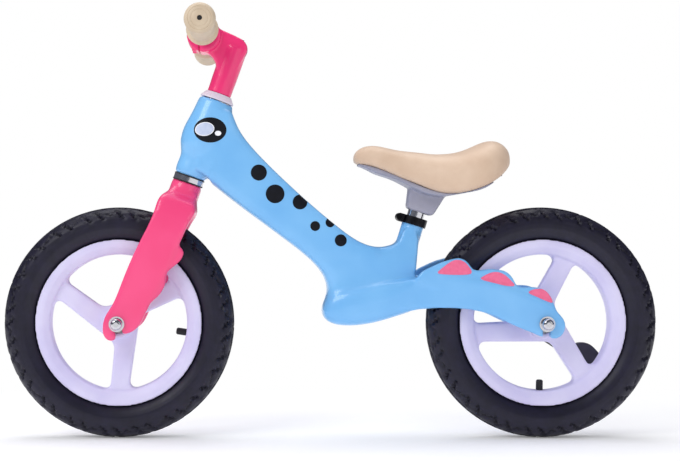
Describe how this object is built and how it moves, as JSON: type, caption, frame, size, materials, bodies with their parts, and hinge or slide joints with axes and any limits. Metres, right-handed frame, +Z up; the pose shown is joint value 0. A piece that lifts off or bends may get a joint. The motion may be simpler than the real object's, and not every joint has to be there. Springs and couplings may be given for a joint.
{
  "type": "balance bike",
  "caption": "Child's pedal-free balance bike with a cast frame, turning fork, air tyres on spoked wheels, height-adjustable saddle and bar, and a folding side stand.",
  "frame": {"origin": "on the ground, midway between the two wheel centres, in the middle plane", "axes": "-X forwards, +X to the rear, -Y to the rider's left, +Z up"},
  "size_m": [0.85, 0.3602, 0.5448],
  "materials": {
    "frame_paint": "gloss sky-blue paint on cast magnesium alloy",
    "fork_paint": "gloss pink paint on cast alloy",
    "stem_paint": "gloss pink paint on cast alloy",
    "wheel_nylon": "moulded glass-filled nylon, pale lavender",
    "tyre_rubber": "moulded tread rubber",
    "tube_rubber": "butyl",
    "valve_rubber": "moulded rubber",
    "grip_rubber": "soft moulded cream rubber",
    "saddle_leather": "tan leatherette over foam",
    "grey_plastic": "moulded polypropylene",
    "white_plastic": "moulded ABS",
    "black_paint": "satin black powder coat on steel",
    "black_anodised": "black anodised",
    "black_steel": "black oxide steel",
    "chrome": "bright chrome plate",
    "steel": "turned steel",
    "stand_plastic": "moulded polypropylene"
  },
  "bodies": {
    "frame": {"frame": "frame_paint", "headset_lower_cup": "chrome", "headset_lower_bearing": "steel", "headset_upper_cup": "chrome", "headset_upper_bearing": "steel", "seat_clamp": "black_anodised", "seat_clamp_bolt": "black_steel", "seat_clamp_nut": "black_steel", "rear_axle": "steel", "rear_axle_nuts": "chrome", "rear_axle_cones": "steel", "stand_bracket": "black_steel", "stand_bracket_bolts": "black_steel", "stand_pivot_bolt": "black_steel"},
    "fork": {"fork": "fork_paint", "steerer_tube": "steel", "headset_crown_race": "steel", "headset_locknut": "steel", "headset_cover": "white_plastic", "front_axle": "steel", "front_axle_nuts": "chrome", "front_axle_cones": "steel"},
    "stem": {"stem": "stem_paint", "stem_cap": "stem_paint", "stem_cap_bolts": "black_steel", "stem_wedge": "steel", "stem_expander_bolt": "steel", "stem_plug": "valve_rubber"},
    "handlebar": {"handlebar": "black_paint", "grip_left": "grip_rubber", "grip_right": "grip_rubber"},
    "front_wheel": {"front_rim": "wheel_nylon", "front_tyre": "tyre_rubber", "front_inner_tube": "tube_rubber", "front_valve": "valve_rubber", "front_hub_bearings": "steel", "front_hub_spacer": "steel"},
    "rear_wheel": {"rear_rim": "wheel_nylon", "rear_tyre": "tyre_rubber", "rear_inner_tube": "tube_rubber", "rear_valve": "valve_rubber", "rear_hub_bearings": "steel", "rear_hub_spacer": "steel"},
    "seat": {"seat_post": "chrome", "saddle_base": "grey_plastic", "saddle_cover": "saddle_leather"},
    "stand": {"stand_leg": "black_steel", "stand_foot": "stand_plastic"}
  },
  "joints": [
    {"name": "steering", "type": "hinge", "parent": "frame", "child": "fork", "pos_m": [-0.18335, 0, 0.3399], "axis": [0.3338, 0, 0.9426], "range_deg": [-50, 50]},
    {"name": "stem_height", "type": "slide", "parent": "fork", "child": "stem", "axis": [0.3338, 0, 0.9426], "range_m": [0, 0.03]},
    {"name": "bar_tilt", "type": "hinge", "parent": "stem", "child": "handlebar", "pos_m": [-0.16461, 0, 0.52315], "axis": [0, 1, 0], "range_deg": [-30, 30]},
    {"name": "front_wheel_spin", "type": "hinge", "parent": "fork", "child": "front_wheel", "pos_m": [-0.275, 0, 0.15], "axis": [0, 1, 0], "continuous": true},
    {"name": "rear_wheel_spin", "type": "hinge", "parent": "frame", "child": "rear_wheel", "pos_m": [0.275, 0, 0.15], "axis": [0, 1, 0], "continuous": true},
    {"name": "seat_height", "type": "slide", "parent": "frame", "child": "seat", "axis": [0.2874, 0, 0.9578], "range_m": [0, 0.05]},
    {"name": "stand_fold", "type": "hinge", "parent": "frame", "child": "stand", "pos_m": [0.247, 0.053, 0.153], "axis": [0, 1, 0], "range_deg": [0, 60]}
  ]
}
